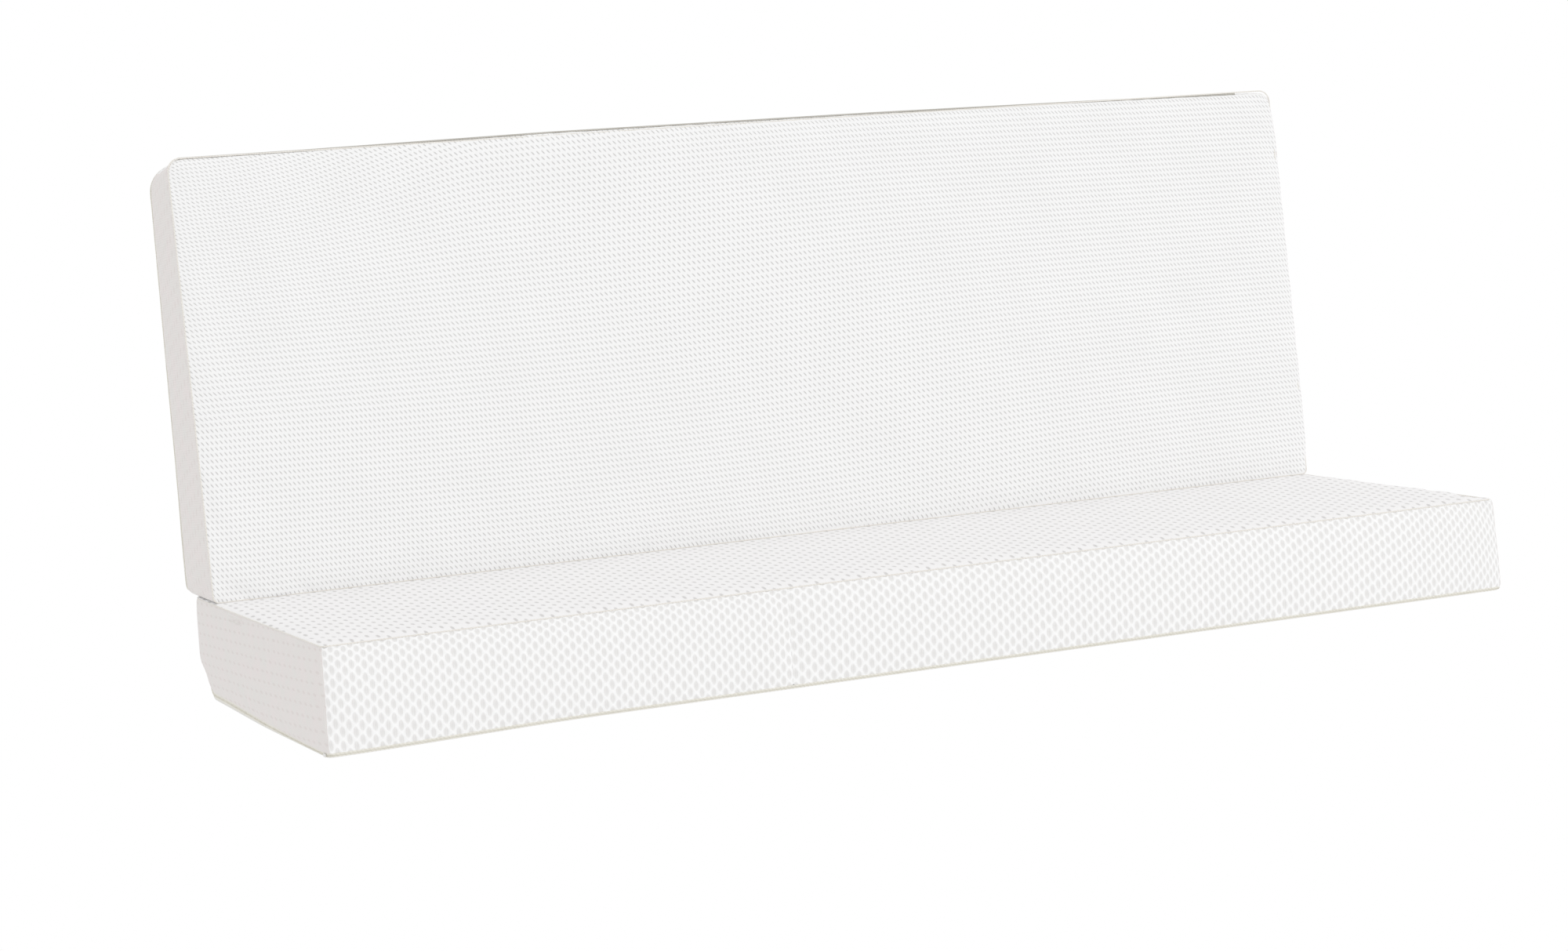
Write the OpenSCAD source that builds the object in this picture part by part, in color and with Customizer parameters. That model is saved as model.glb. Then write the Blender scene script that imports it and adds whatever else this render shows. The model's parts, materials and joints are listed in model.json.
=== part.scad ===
// Two-slab folding memory foam mattress, standing as a sofa.
// A seat slab lies on the floor. A back slab stands on its rear and leans back. A fabric strip joins
// the two, so that the back swings down behind the seat and both lie level as one bed.
// Frame: X along the length, -Y to the front, +Z up. Origin at the middle of the seat's underside.

/* [Slabs] */
// Length of both slabs, left to right
slab_len = 1900; // [1400:10:2050]
// Depth of the seat slab, front to rear
seat_depth = 650; // [500:10:800]
// Height of the back slab, measured along its face
back_height = 650; // [400:10:800]
// Thickness of both slabs, cover included
slab_t = 145; // [110:5:200]
// Thickness of the memory foam layer on the sleeping side
memory_t = 50; // [20:5:70]

/* [Corners in plan] */
// Radius of the seat's two front corners
seat_front_r = 8; // [5:1:60]
// Radius of the seat's two rear corners
seat_rear_r = 45; // [10:1:80]
// Radius of the back's four corners
back_r = 30; // [10:1:80]

/* [Sofa position] */
// Angle by which the back leans to the rear, in degrees
recline = 6; // [4:0.5:12]
// Gap between the seat's top and the foot of the back
rest_gap = 1; // [0.6:0.1:3]
// Gap between the two slabs' top edges when they lie flat
flat_gap = 2; // [1.5:0.5:6]
// Height by which the back stands proud of the seat when they lie flat
flat_step = 2.4; // [2.2:0.1:5]

/* [Cover] */
// Thickness of the padded knit panels and borders
cover_t = 3; // [2.5:0.5:5]
// Radius of the sewn seam along the edge of the sleeping side
seam_r = 1.3; // [0.8:0.1:1.4]
// Place along X of the upright seam where the front border's two lengths are joined
join_x = -265; // [-600:5:600]
// Length, height and thickness of the patch of tacking stitches on the seat's left end
tack_size = [64, 12, 0.8]; // [0.4:0.1:90]
// Distance from the seat's front to the middle of the tacking stitches
tack_y = 388; // [100:1:440]

/* [Zip] */
// Height of the zip band between the underside panel and the borders
zip_h = 8; // [7:0.5:20]
// Radius of the zip's coil
coil_r = 1.5; // [1:0.1:1.6]
// Thickness of the zip's tape
tape_t = 1.2; // [0.6:0.1:1.4]
// Gap between the coil and each tape, where the slider's cheeks run
cheek_gap = 1.4; // [1.2:0.1:2]
// Length of the slider
slider_len = 9; // [7:0.5:14]
// Thickness of the slider's plate
plate_t = 1.2; // [0.8:0.1:2]
// Length, width and thickness of the pull tab
pull_size = [22, 5, 1.2]; // [0.8:0.1:40]
// Width, height and thickness of the fabric tab over the zip at the front left corner
tab_size = [10, 9, 0.8]; // [0.4:0.1:20]
// Radius of the pin that the pull tab swings on
pin_r = 0.5; // [0.4:0.05:0.7]

/* [Hinge strip] */
// Thickness of the strip
strip_t = 1; // [0.8:0.1:1.2]
// Distance from each end of the slabs to the strip
strip_inset = 50; // [50:5:200]
// Width of the two sewn hems
hem_h = 25; // [15:1:40]
// Distance from the back's rear bottom corner out to the strip's upper fold
fold_off = 1.3; // [1.2:0.1:2]
// Distance by which the back's rear panel and zip stand back from its foot, to clear the strip
foot_back = 1; // [0.8:0.1:3]

/* [Hidden] */
$fn = 48;

knit_white = [0.95, 0.945, 0.94];
border_white = [0.96, 0.955, 0.95];
end_grey = [0.89, 0.88, 0.87];
foam_cream = [0.96, 0.93, 0.80];
memory_white = [0.93, 0.94, 0.96];
zip_beige = [0.84, 0.83, 0.78];
zip_metal = [0.75, 0.75, 0.74];

clear = 0.3;
half_len = slab_len / 2;
beyond = 50;

// Levels through a slab, counted from its underside
zip_top = cover_t + zip_h;
zip_z = cover_t + zip_h / 2;
foam_top = slab_t - cover_t;
memory_z = foam_top - memory_t;
seam_z = slab_t - cover_t / 2;

// Insets of the small parts from a slab's outline
seam_in = cover_t / 2;
tape_in = 1;
coil_in = 1.2;
coil_out = max(0, coil_r - coil_in);

// Places in the Y-Z plane, with y counted from the seat's front
turn = 90 - recline;
foot_w = slab_t / cos(recline);
foot_cut = round(100 * slab_t * tan(recline)) / 100;
rear_foot = foot_cut + foot_back;
foam_foot = cover_t + foot_back + zip_top * tan(recline);
seat_y = -seat_depth / 2;
back_foot = [seat_depth - foot_w, slab_t + rest_gap];
flat_foot = [seat_depth + flat_gap, slab_t + flat_step];
fold_arm = foot_w + fold_off;
fold_rest = back_foot + [fold_arm, 0];
fold_flat = flat_foot + fold_arm * [cos(turn), -sin(turn)];

// The strip's lower fold is the centre of the arc, twice turn long, from fold_rest to fold_flat
chord = fold_flat - fold_rest;
strip_h = norm(chord) / (2 * sin(turn));
strip_fold = (fold_rest + fold_flat) / 2
    + strip_h * cos(turn) * [chord[1], -chord[0]] / norm(chord);
strip_lean = atan2(fold_rest[0] - strip_fold[0], fold_rest[1] - strip_fold[1]);
strip_len = slab_len - 2 * strip_inset;
hem_gap = 1.6;

// The sliders, and the pins that their pull tabs swing on
slider_park = 30;
slider_x = seat_rear_r + slider_park - half_len;
slider_y = rear_foot + back_r + slider_park;
slider_rim = 0.7;
slider_w = 2 * (coil_r + cheek_gap + slider_rim);
cheek_t = 0.6;
cheek_in = 1;
post_t = 1;
eye_r = 1;
eye_w = 2.6;
pin_play = 0.08;
pull_lift = 0.6;
pin_y = coil_r + clear + plate_t + pull_size[2] / 2 + pull_lift;

// ---- shapes shared by both slabs; y runs from y0 at the near side to y1 at the far side ----

// Cuts a square corner at the origin down to a round one
module corner_cut(r) {
    difference() {
        translate([-1, -1]) square(r + 1);
        translate([r, r]) circle(r);
    }
}

// Rounded outline of a slab in plan, shrunk by inset on every side
module outline(y0, y1, r0, r1, inset) {
    half = half_len - inset;
    difference() {
        translate([-half, y0 + inset]) square([2 * half, y1 - y0 - 2 * inset]);
        for (side = [0, 1]) mirror([side, 0]) {
            translate([-half, y0 + inset]) corner_cut(r0 - inset);
            translate([-half, y1 - inset]) mirror([0, 1]) corner_cut(r1 - inset);
        }
    }
}

// Upright band that follows the outline, between two insets
module band(y0, y1, r0, r1, outer, inner, z0, z1) {
    translate([0, 0, z0]) linear_extrude(z1 - z0) difference() {
        outline(y0, y1, r0, r1, outer);
        outline(y0, y1, r0, r1, inner);
    }
}

// Round bead that follows the outline
module bead(y0, y1, r0, r1, inset, r, z) {
    half = half_len - inset;
    near = y0 + inset;
    far = y1 - inset;
    bend0 = r0 - inset;
    bend1 = r1 - inset;
    translate([0, 0, z]) {
        translate([bend0 - half, near, 0]) rotate([0, 90, 0]) cylinder(r = r, h = 2 * (half - bend0));
        translate([bend1 - half, far, 0]) rotate([0, 90, 0]) cylinder(r = r, h = 2 * (half - bend1));
        for (side = [0, 1]) mirror([side, 0, 0]) {
            translate([half, far - bend1, 0]) rotate([90, 0, 0])
                cylinder(r = r, h = far - bend1 - near - bend0);
            translate([half - bend0, near + bend0, 0]) rotate([0, 0, -90])
                rotate_extrude(angle = 90) translate([bend0, 0]) circle(r);
            translate([half - bend1, far - bend1, 0])
                rotate_extrude(angle = 90) translate([bend1, 0]) circle(r);
        }
    }
}

// The two tapes of a zip, one on each side of its coil
module tapes(y0, y1, r0, r1) {
    open = coil_r + cheek_gap;
    band(y0, y1, r0, r1, tape_in, tape_in + tape_t, cover_t, zip_z - open);
    band(y0, y1, r0, r1, tape_in, tape_in + tape_t, zip_z + open, zip_top);
}

// Zip slider that runs along X on a coil at the origin, with its face to +Y
module slider() {
    plate_y = coil_r + clear;
    post_y = plate_y + plate_t;
    translate([-slider_len / 2, plate_y, -slider_w / 2]) cube([slider_len, plate_t, slider_w]);
    for (side = [0, 1]) mirror([0, 0, side]) {
        translate([-slider_len / 2, -cheek_in, coil_r + clear])
            cube([slider_len, cheek_in + post_y, cheek_t]);
        translate([-post_t, plate_y, eye_w / 2 + clear]) cube([2 * post_t, pin_y + eye_r - plate_y, post_t]);
    }
    translate([0, pin_y, -eye_w / 2 - clear]) cylinder(r = pin_r, h = eye_w + 2 * clear);
}

// Pull tab that swings on the slider's pin and lies along +X
module pull() {
    neck = slider_len / 2 + eye_r;
    translate([0, pin_y, 0]) difference() {
        union() {
            translate([0, 0, -eye_w / 2]) cylinder(r = eye_r, h = eye_w);
            translate([0, -pull_size[2] / 2, -eye_w / 2]) cube([neck + eye_r, pull_size[2], eye_w]);
            translate([neck, -pull_size[2] / 2, -pull_size[1] / 2])
                cube([pull_size[0] - neck, pull_size[2], pull_size[1]]);
        }
        translate([0, 0, -eye_w]) cylinder(r = pin_r + pin_play, h = 2 * eye_w);
    }
}

// ---- the seat slab, with y counted from its front ----

module on_seat() translate([0, seat_y, 0]) children();

module seat_layer(inset, z0, z1) {
    on_seat() translate([0, 0, z0]) linear_extrude(z1 - z0)
        outline(0, seat_depth, seat_front_r, seat_rear_r, inset);
}

// The length of the seat's border that lies between two corners of a box in plan
module seat_border(from, to) {
    on_seat() intersection() {
        band(0, seat_depth, seat_front_r, seat_rear_r, 0, cover_t, zip_top, foam_top);
        translate([from[0], from[1], 0]) cube([to[0] - from[0], to[1] - from[1], slab_t]);
    }
}

module seat_support_foam() color(foam_cream) seat_layer(cover_t, cover_t, memory_z);
module seat_memory_foam() color(memory_white) seat_layer(cover_t, memory_z, foam_top);
module seat_top_panel() color(knit_white) seat_layer(cover_t, foam_top, slab_t);
module seat_underside_panel() color(end_grey) seat_layer(0, 0, cover_t);

module seat_front_border_left() color(border_white)
    seat_border([-half_len - beyond, -beyond], [join_x, seat_front_r]);
module seat_front_border_right() color(border_white)
    seat_border([join_x, -beyond], [half_len + beyond, seat_front_r]);
module seat_left_border() color(end_grey)
    seat_border([-half_len - beyond, seat_front_r], [seat_rear_r - half_len, seat_depth + beyond]);
module seat_right_border() color(end_grey) mirror([1, 0, 0])
    seat_border([-half_len - beyond, seat_front_r], [seat_rear_r - half_len, seat_depth + beyond]);
module seat_rear_border() color(border_white)
    seat_border([seat_rear_r - half_len, seat_depth / 2], [half_len - seat_rear_r, seat_depth + beyond]);

module seat_edge_seam() color(zip_beige)
    on_seat() bead(0, seat_depth, seat_front_r, seat_rear_r, seam_in, seam_r, seam_z);
module seat_zip_tapes() color(zip_beige)
    on_seat() tapes(0, seat_depth, seat_front_r, seat_rear_r);
module seat_zip_coil() color(zip_beige)
    on_seat() bead(0, seat_depth, seat_front_r, seat_rear_r, coil_in, coil_r, zip_z);

module on_seat_zip() on_seat() translate([slider_x, seat_depth - coil_in, zip_z]) children();
module seat_zip_slider() color(zip_metal) on_seat_zip() slider();
module seat_zip_pull() color(zip_metal) on_seat_zip() pull();

module seat_zip_corner_tab() color(border_white)
    on_seat() translate([-half_len - coil_out - tab_size[2], seat_front_r, zip_top - tab_size[1]])
        cube([tab_size[2], tab_size[0], tab_size[1]]);
module seat_tacking_stitches() color(knit_white)
    on_seat() translate([-half_len - tack_size[2], tack_y - tack_size[0] / 2, foam_top - tack_size[1]])
        cube([tack_size[2], tack_size[0], tack_size[1]]);

// ---- the fabric strip that joins the slabs ----

module seat_strip_hem() color(border_white)
    on_seat() translate([-strip_len / 2, seat_depth, strip_fold[1] - hem_gap - hem_h])
        cube([strip_len, strip_t, hem_h]);

module hinge_strip() color(border_white)
    on_seat() translate([-strip_len / 2, strip_fold[0], strip_fold[1]]) rotate([-strip_lean, 0, 0]) {
        translate([0, -strip_t / 2, 0]) cube([strip_len, strip_t, strip_h]);
        for (fold = [0, strip_h]) translate([0, 0, fold]) rotate([0, 90, 0])
            cylinder(d = strip_t, h = strip_len);
    }

// ---- the back slab, modelled lying on its rear: y counts up from its foot, z from its rear ----

module on_back() translate([0, seat_y + back_foot[0], back_foot[1]]) rotate([turn, 0, 0])
    translate([0, 0, -slab_t]) children();

// Everything above the slanted foot, which is level when the back leans at rest
module above_foot(inset) {
    translate([-slab_len, inset / cos(recline), slab_t]) rotate([recline, 0, 0])
        translate([0, 0, -2 * slab_t]) cube([2 * slab_len, 2 * back_height, 3 * slab_t]);
}

module back_foam(foot, z0, z1) {
    on_back() intersection() {
        translate([0, 0, z0]) linear_extrude(z1 - z0) outline(foot, back_height, back_r, back_r, cover_t);
        above_foot(foam_foot);
    }
}

module back_side_border() {
    on_back() intersection() {
        band(0, back_height, back_r, back_r, 0, cover_t, zip_top, foam_top);
        translate([-half_len - beyond, -beyond, 0]) cube([back_r + beyond, back_height + 2 * beyond, slab_t]);
        above_foot(cover_t);
    }
}

// The support foam is trimmed at its two lower corners to leave room for the zip
module back_support_foam() color(foam_cream) {
    back_foam(rear_foot, cover_t, zip_top);
    back_foam(0, zip_top, memory_z);
}
module back_memory_foam() color(memory_white) back_foam(0, memory_z, foam_top);
module back_face_panel() color(knit_white) on_back() translate([0, 0, foam_top])
    linear_extrude(cover_t) outline(0, back_height, back_r, back_r, cover_t);
module back_rear_panel() color(end_grey) on_back()
    linear_extrude(cover_t) outline(rear_foot, back_height, back_r, back_r, 0);

module back_left_border() color(end_grey) back_side_border();
module back_right_border() color(end_grey) mirror([1, 0, 0]) back_side_border();
module back_top_border() color(border_white) on_back() intersection() {
    band(0, back_height, back_r, back_r, 0, cover_t, zip_top, foam_top);
    translate([back_r - half_len, back_height / 2, 0]) cube([slab_len - 2 * back_r, back_height, slab_t]);
}
module back_foot_border() color(border_white) on_back() difference() {
    intersection() {
        translate([0, 0, zip_top]) linear_extrude(foam_top - zip_top)
            outline(0, back_height, back_r, back_r, 0);
        above_foot(0);
    }
    above_foot(cover_t);
}

module back_edge_seam() color(zip_beige)
    on_back() bead(0, back_height, back_r, back_r, seam_in, seam_r, seam_z);
module back_zip_tapes() color(zip_beige) on_back() tapes(rear_foot, back_height, back_r, back_r);
module back_zip_coil() color(zip_beige)
    on_back() bead(rear_foot, back_height, back_r, back_r, coil_in, coil_r, zip_z);

module on_back_zip() on_back() translate([half_len - coil_in, slider_y, zip_z])
    rotate([180, 0, 90]) children();
module back_zip_slider() color(zip_metal) on_back_zip() slider();
module back_zip_pull() color(zip_metal) on_back_zip() mirror([1, 0, 0]) pull();

module back_strip_hem() color(border_white)
    on_back() translate([-strip_len / 2, rear_foot, -strip_t])
        cube([strip_len, hem_h, strip_t]);

seat_support_foam();
seat_memory_foam();
seat_top_panel();
seat_underside_panel();
seat_front_border_left();
seat_front_border_right();
seat_left_border();
seat_right_border();
seat_rear_border();
seat_edge_seam();
seat_zip_tapes();
seat_zip_coil();
seat_zip_slider();
seat_zip_pull();
seat_zip_corner_tab();
seat_tacking_stitches();
seat_strip_hem();
hinge_strip();
back_strip_hem();
back_support_foam();
back_memory_foam();
back_face_panel();
back_rear_panel();
back_left_border();
back_right_border();
back_top_border();
back_foot_border();
back_edge_seam();
back_zip_tapes();
back_zip_coil();
back_zip_slider();
back_zip_pull();
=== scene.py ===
# %% [markdown]
# # A folding memory foam mattress
# Two foam slabs in white knitted covers stand as a sofa: the seat lies on the floor, and the back stands
# on its rear edge and leans. The CAD model is loaded first as a fixed frame, so that every piece made here
# takes its place and size from it. All lengths are in metres, with +Z up and the front towards -Y.
# %% Load the frame
import json
import math

import bmesh
import bpy
import numpy as np
from mathutils import Matrix, Quaternion, Vector

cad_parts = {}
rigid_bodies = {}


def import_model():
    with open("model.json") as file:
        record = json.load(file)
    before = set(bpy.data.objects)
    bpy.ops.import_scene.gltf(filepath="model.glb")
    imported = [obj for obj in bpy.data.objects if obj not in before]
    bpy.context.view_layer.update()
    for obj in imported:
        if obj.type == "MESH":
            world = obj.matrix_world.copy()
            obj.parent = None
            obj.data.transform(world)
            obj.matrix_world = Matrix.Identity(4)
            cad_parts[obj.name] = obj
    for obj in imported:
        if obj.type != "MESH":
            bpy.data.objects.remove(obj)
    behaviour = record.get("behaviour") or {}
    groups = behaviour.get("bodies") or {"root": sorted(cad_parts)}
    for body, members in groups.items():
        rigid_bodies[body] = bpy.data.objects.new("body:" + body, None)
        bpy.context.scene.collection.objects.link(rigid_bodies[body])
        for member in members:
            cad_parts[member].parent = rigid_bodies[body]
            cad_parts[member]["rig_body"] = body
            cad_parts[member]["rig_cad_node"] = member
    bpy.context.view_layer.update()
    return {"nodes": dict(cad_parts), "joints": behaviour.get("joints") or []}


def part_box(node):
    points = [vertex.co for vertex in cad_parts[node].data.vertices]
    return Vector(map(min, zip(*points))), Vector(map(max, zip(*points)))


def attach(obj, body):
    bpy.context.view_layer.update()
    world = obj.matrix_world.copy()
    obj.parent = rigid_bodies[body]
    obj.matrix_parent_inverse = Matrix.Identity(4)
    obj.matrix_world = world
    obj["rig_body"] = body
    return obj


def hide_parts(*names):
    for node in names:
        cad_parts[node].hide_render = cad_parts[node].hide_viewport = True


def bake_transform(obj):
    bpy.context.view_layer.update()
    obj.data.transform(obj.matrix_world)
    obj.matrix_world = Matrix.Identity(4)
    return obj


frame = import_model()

# %% [markdown]
# ## The camera
# The camera comes first, so that every later choice can be judged from it. A long lens, low and a little
# to the left, keeps the two slabs' long edges nearly parallel. Its view is levelled by a small roll.
# %% Camera
turn, dip, roll = math.radians(25.094), math.radians(6.3449), math.radians(-3.3682)
bpy.ops.object.camera_add(location=(-2.282, -4.6424, 0.8327))
camera = bpy.context.object
look = Vector((math.sin(turn) * math.cos(dip), math.cos(turn) * math.cos(dip), -math.sin(dip)))
camera.rotation_mode = "QUATERNION"
camera.rotation_quaternion = look.to_track_quat("-Z", "Y") @ Quaternion((0, 0, 1), roll)
camera.data.lens = 78.68
camera.data.sensor_width = 36
bpy.context.scene.camera = camera
print("camera looks along", [round(v, 3) for v in look])

# %% [markdown]
# ## The measures of the two slabs
# Each slab is modelled lying flat, with x along its length, y from its front or foot, and z from its
# underside to its sleeping side. The seat lies that way already. The back is stood up afterwards by one
# matrix, whose directions come from the run of the zip slider up the back's right end.
# %% Slab measures
mm = 0.001
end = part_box("seat_underside_panel")[1].x
seat_front, seat_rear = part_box("seat_underside_panel")[0].y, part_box("seat_underside_panel")[1].y
depth = seat_rear - seat_front
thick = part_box("seat_top_panel")[1].z
zip_low, zip_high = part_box("seat_zip_tapes")[0].z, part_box("seat_zip_tapes")[1].z
join_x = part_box("seat_front_border_left")[1].x
up = Vector(next(j["axis"] for j in frame["joints"] if j["name"] == "back_slider_run")).normalized()
facing = Vector((0, -up.z, up.y))
lean = math.atan2(up.y, up.z)
foot_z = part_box("back_foot_border")[0].z
foot = Vector((0, seat_rear - thick / math.cos(lean), foot_z))
seat_place = Matrix.Translation((0, seat_front, 0))
back_place = Matrix((
    (1, 0, 0, 0),
    (0, up.y, facing.y, foot.y - thick * facing.y),
    (0, up.z, facing.z, foot.z - thick * facing.z),
    (0, 0, 0, 1)))
foot_rise = thick * math.tan(lean)
print("slab", round(2 * end, 3), round(depth, 3), round(thick, 3), "lean", round(math.degrees(lean), 2))

# %% [markdown]
# ## Tools used on every piece
# A piece is shaped in edit mode with the same commands as by hand, and the parts to work on are picked in
# code by their place. When it is finished, its place is put into its mesh, so that its object sits at the
# origin like the CAD nodes.
# %% Editing helpers
def only(piece):
    """Selects this piece alone and makes it the active one."""
    bpy.ops.object.select_all(action="DESELECT")
    piece.select_set(True)
    bpy.context.view_layer.objects.active = piece
    return piece

def pick(piece, kind, test):
    """In edit mode, selects the VERT, EDGE or FACE elements for which test is true."""
    bpy.ops.mesh.select_mode(type=kind)
    bpy.ops.mesh.select_all(action="DESELECT")
    mesh = bmesh.from_edit_mesh(piece.data)
    for part in {"VERT": mesh.verts, "EDGE": mesh.edges, "FACE": mesh.faces}[kind]:
        if test(part):
            part.select_set(True)
    mesh.select_flush_mode()
    bmesh.update_edit_mesh(piece.data)

def along(axis):
    """A test for edges that run along one axis."""
    def test(edge):
        run = edge.verts[1].co - edge.verts[0].co
        return abs(run[axis]) > 0.99 * run.length
    return test

def modify(piece, name, kind, **settings):
    """Adds a modifier with these settings and applies it."""
    only(piece)
    modifier = piece.modifiers.new(name, kind)
    for key, value in settings.items():
        setattr(modifier, key, value)
    bpy.ops.object.modifier_apply(modifier=modifier.name)

def repeat(unit, count, step, join=False):
    """A row of copies of the unit, each one step from the last."""
    modify(unit, "row", "ARRAY", count=count, use_relative_offset=False, use_constant_offset=True,
        constant_offset_displace=step, use_merge_vertices=join, merge_threshold=0.1 * mm)

def just_added(name):
    """The object that was just added, named, with its place and size put into its mesh."""
    piece = bpy.context.object
    piece.name = piece.data.name = name
    bpy.ops.object.transform_apply(location=True, rotation=True, scale=True)
    return piece

def points(piece):
    """The piece's vertices as an array of rows x, y, z."""
    co = np.empty(len(piece.data.vertices) * 3)
    piece.data.vertices.foreach_get("co", co)
    return co.reshape(-1, 3)

def put_points(piece, co):
    piece.data.vertices.foreach_set("co", np.ascontiguousarray(co, float).ravel())
    piece.data.update()

def seat_in_place(piece, place):
    """Puts the object's place, and then the slab's, into the mesh."""
    only(piece)
    bpy.ops.object.transform_apply(location=True, rotation=True, scale=True)
    piece.data.transform(place)
    piece.data.update()

def ease(value):
    """0 below 0, 1 above 1 and a smooth rise between."""
    t = np.clip(value, 0, 1)
    return t * t * (3 - 2 * t)
print("helpers ready")

# %% [markdown]
# ## Colours and nodes
# Colours are written as hex values, as in any paint program, and one function turns them to the linear
# numbers that the shader wants. One more function adds a node, sets it and links it, and every material
# is built with it.
# %% Material helpers
def linear(code):
    """sRGB hex to linear RGBA."""
    parts = [int(code[i:i + 2], 16) / 255 for i in (0, 2, 4)]
    return tuple(c / 12.92 if c <= 0.04045 else ((c + 0.055) / 1.055) ** 2.4 for c in parts) + (1.0,)

def add_node(tree, kind, inputs=None, **settings):
    """Adds a node; an input is given by name or number, as a value or as the socket it is linked from."""
    made = tree.nodes.new(kind)
    for name, value in settings.items():
        setattr(made, name, value)
    for name, value in (inputs or {}).items():
        if isinstance(value, bpy.types.NodeSocket):
            tree.links.new(value, made.inputs[name])
        else:
            made.inputs[name].default_value = value
    return made

def calc(tree, operation, *values):
    """The output of a math node on these values or sockets."""
    return add_node(tree, "ShaderNodeMath", dict(enumerate(values)), operation=operation).outputs[0]

def new_material(name, **constants):
    """A material with one Principled shader, whose constant values are set on its own sockets."""
    material = bpy.data.materials.new(name)
    material.use_nodes = True
    shader = material.node_tree.nodes["Principled BSDF"]
    for socket, value in constants.items():
        shader.inputs[socket.replace("_", " ")].default_value = value
    return material, material.node_tree, shader

print("white as linear", [round(v, 3) for v in linear("f4f3f1")])

# %% [markdown]
# ## The covers as cut cloth
# The cover of each slab starts as one box, cut into even cells with the subdivide command, one direction at
# a time. The cuts are then moved to chosen levels, closer together at the edges and corners, with one level
# on every seam. Each face keeps a UV place in metres, so that the knit follows the cloth wherever it moves.
# %% Levels of the cuts
def levels(size, cells, near=(0, 3, 8, 20, 32, 45)):
    """Places of the cuts along one side: close together near both ends and even between."""
    edge = [n * mm for n in near]
    middle = np.linspace(edge[-1], size - edge[-1], cells - 2 * (len(edge) - 1) + 1)
    return np.array(edge[:-1] + list(middle) + [size - e for e in edge[-2::-1]])

x_levels = levels(2 * end, 154) - end
x_levels[np.abs(x_levels - join_x).argmin()] = join_x
y_levels = levels(depth, 55)
border_low, border_high = 17 * mm, thick - 8 * mm
z_levels = np.array([0, zip_low, (zip_low + zip_high) / 2, zip_high]
    + list(np.linspace(border_low, border_high, 11)) + [thick - 3 * mm, thick])
print("cells", len(x_levels) - 1, len(y_levels) - 1, len(z_levels) - 1)

# %% Box of cells
def box_of_cells(name):
    """A cube whose sides are cut into as many cells as there are levels."""
    bpy.ops.mesh.primitive_cube_add(size=2)
    box = bpy.context.object
    box.name = box.data.name = name
    bpy.ops.object.mode_set(mode="EDIT")
    for axis, passes in ((0, (11, 14)), (1, (5, 11)), (2, (4, 4))):
        for cells in passes:
            pick(box, "EDGE", along(axis))
            bpy.ops.mesh.subdivide(number_cuts=cells - 1)
    bpy.ops.object.mode_set(mode="OBJECT")
    co = points(box)
    for axis, places in enumerate((x_levels, y_levels, z_levels)):
        step = (co[:, axis] + 1) / 2 * (len(places) - 1)
        co[:, axis] = np.interp(step, np.arange(len(places)), places)
    put_points(box, co)
    return box

# %% [markdown]
# The cloth is laid out on the box before it is shaped. The fronts and ends take their height as the second
# direction, and the sleeping sides and undersides take the slab's width. The panels are marked now as well,
# by a material slot each, and the cover is parted along these marks at the end.
# %% Lay out the knit and mark the panels
def face_sides(piece):
    """For each face of the box: which way it looks, and its middle."""
    count = len(piece.data.polygons)
    normal, middle = np.empty(count * 3), np.empty(count * 3)
    piece.data.polygons.foreach_get("normal", normal)
    piece.data.polygons.foreach_get("center", middle)
    return np.round(normal.reshape(-1, 3)), middle.reshape(-1, 3)

def lay_out(piece, panel_of):
    """Sets UV places in metres, and one material slot for each panel name that panel_of gives."""
    normal, middle = face_sides(piece)
    names = [panel_of(n, m) for n, m in zip(normal, middle)]
    slots = sorted(set(names))
    for name in slots:
        piece.data.materials.append(bpy.data.materials.new(name))
    piece.data.polygons.foreach_set("material_index", [slots.index(n) for n in names])
    co = points(piece)
    corner = np.empty(len(piece.data.loops), int)
    piece.data.loops.foreach_get("vertex_index", corner)
    side = np.repeat(normal, 4, axis=0)
    place = co[corner]
    u = np.where(np.abs(side[:, 0]) > 0.5, place[:, 1], place[:, 0])
    v = np.where(np.abs(side[:, 2]) > 0.5, place[:, 1], place[:, 2])
    layer = piece.data.uv_layers.active or piece.data.uv_layers.new(name="cloth")
    layer.name = "cloth"
    layer.data.foreach_set("uv", np.stack([u, v], 1).ravel())

def seat_panel(normal, middle):
    if normal[2] > 0.5:
        return "seat_top_panel"
    if normal[2] < -0.5 or middle[2] < zip_low:
        return "seat_underside_panel"
    if middle[2] < zip_high:
        return "seat_zip_tapes"
    if normal[1] < -0.5:
        return "seat_front_border_left" if middle[0] < join_x else "seat_front_border_right"
    if normal[1] > 0.5:
        return "seat_rear_border"
    return "seat_left_border" if normal[0] < 0 else "seat_right_border"

def back_panel(normal, middle):
    if normal[2] > 0.5:
        return "back_face_panel"
    if normal[2] < -0.5 or middle[2] < zip_low:
        return "back_rear_panel"
    if middle[2] < zip_high:
        return "back_zip_tapes"
    if normal[1] < -0.5:
        return "back_foot_border"
    if normal[1] > 0.5:
        return "back_top_border"
    return "back_left_border" if normal[0] < 0 else "back_right_border"

seat_cover = box_of_cells("seat_cover")
back_cover = box_of_cells("back_cover")
lay_out(seat_cover, seat_panel)
lay_out(back_cover, back_panel)
print("vertices in a cover", len(seat_cover.data.vertices))

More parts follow.
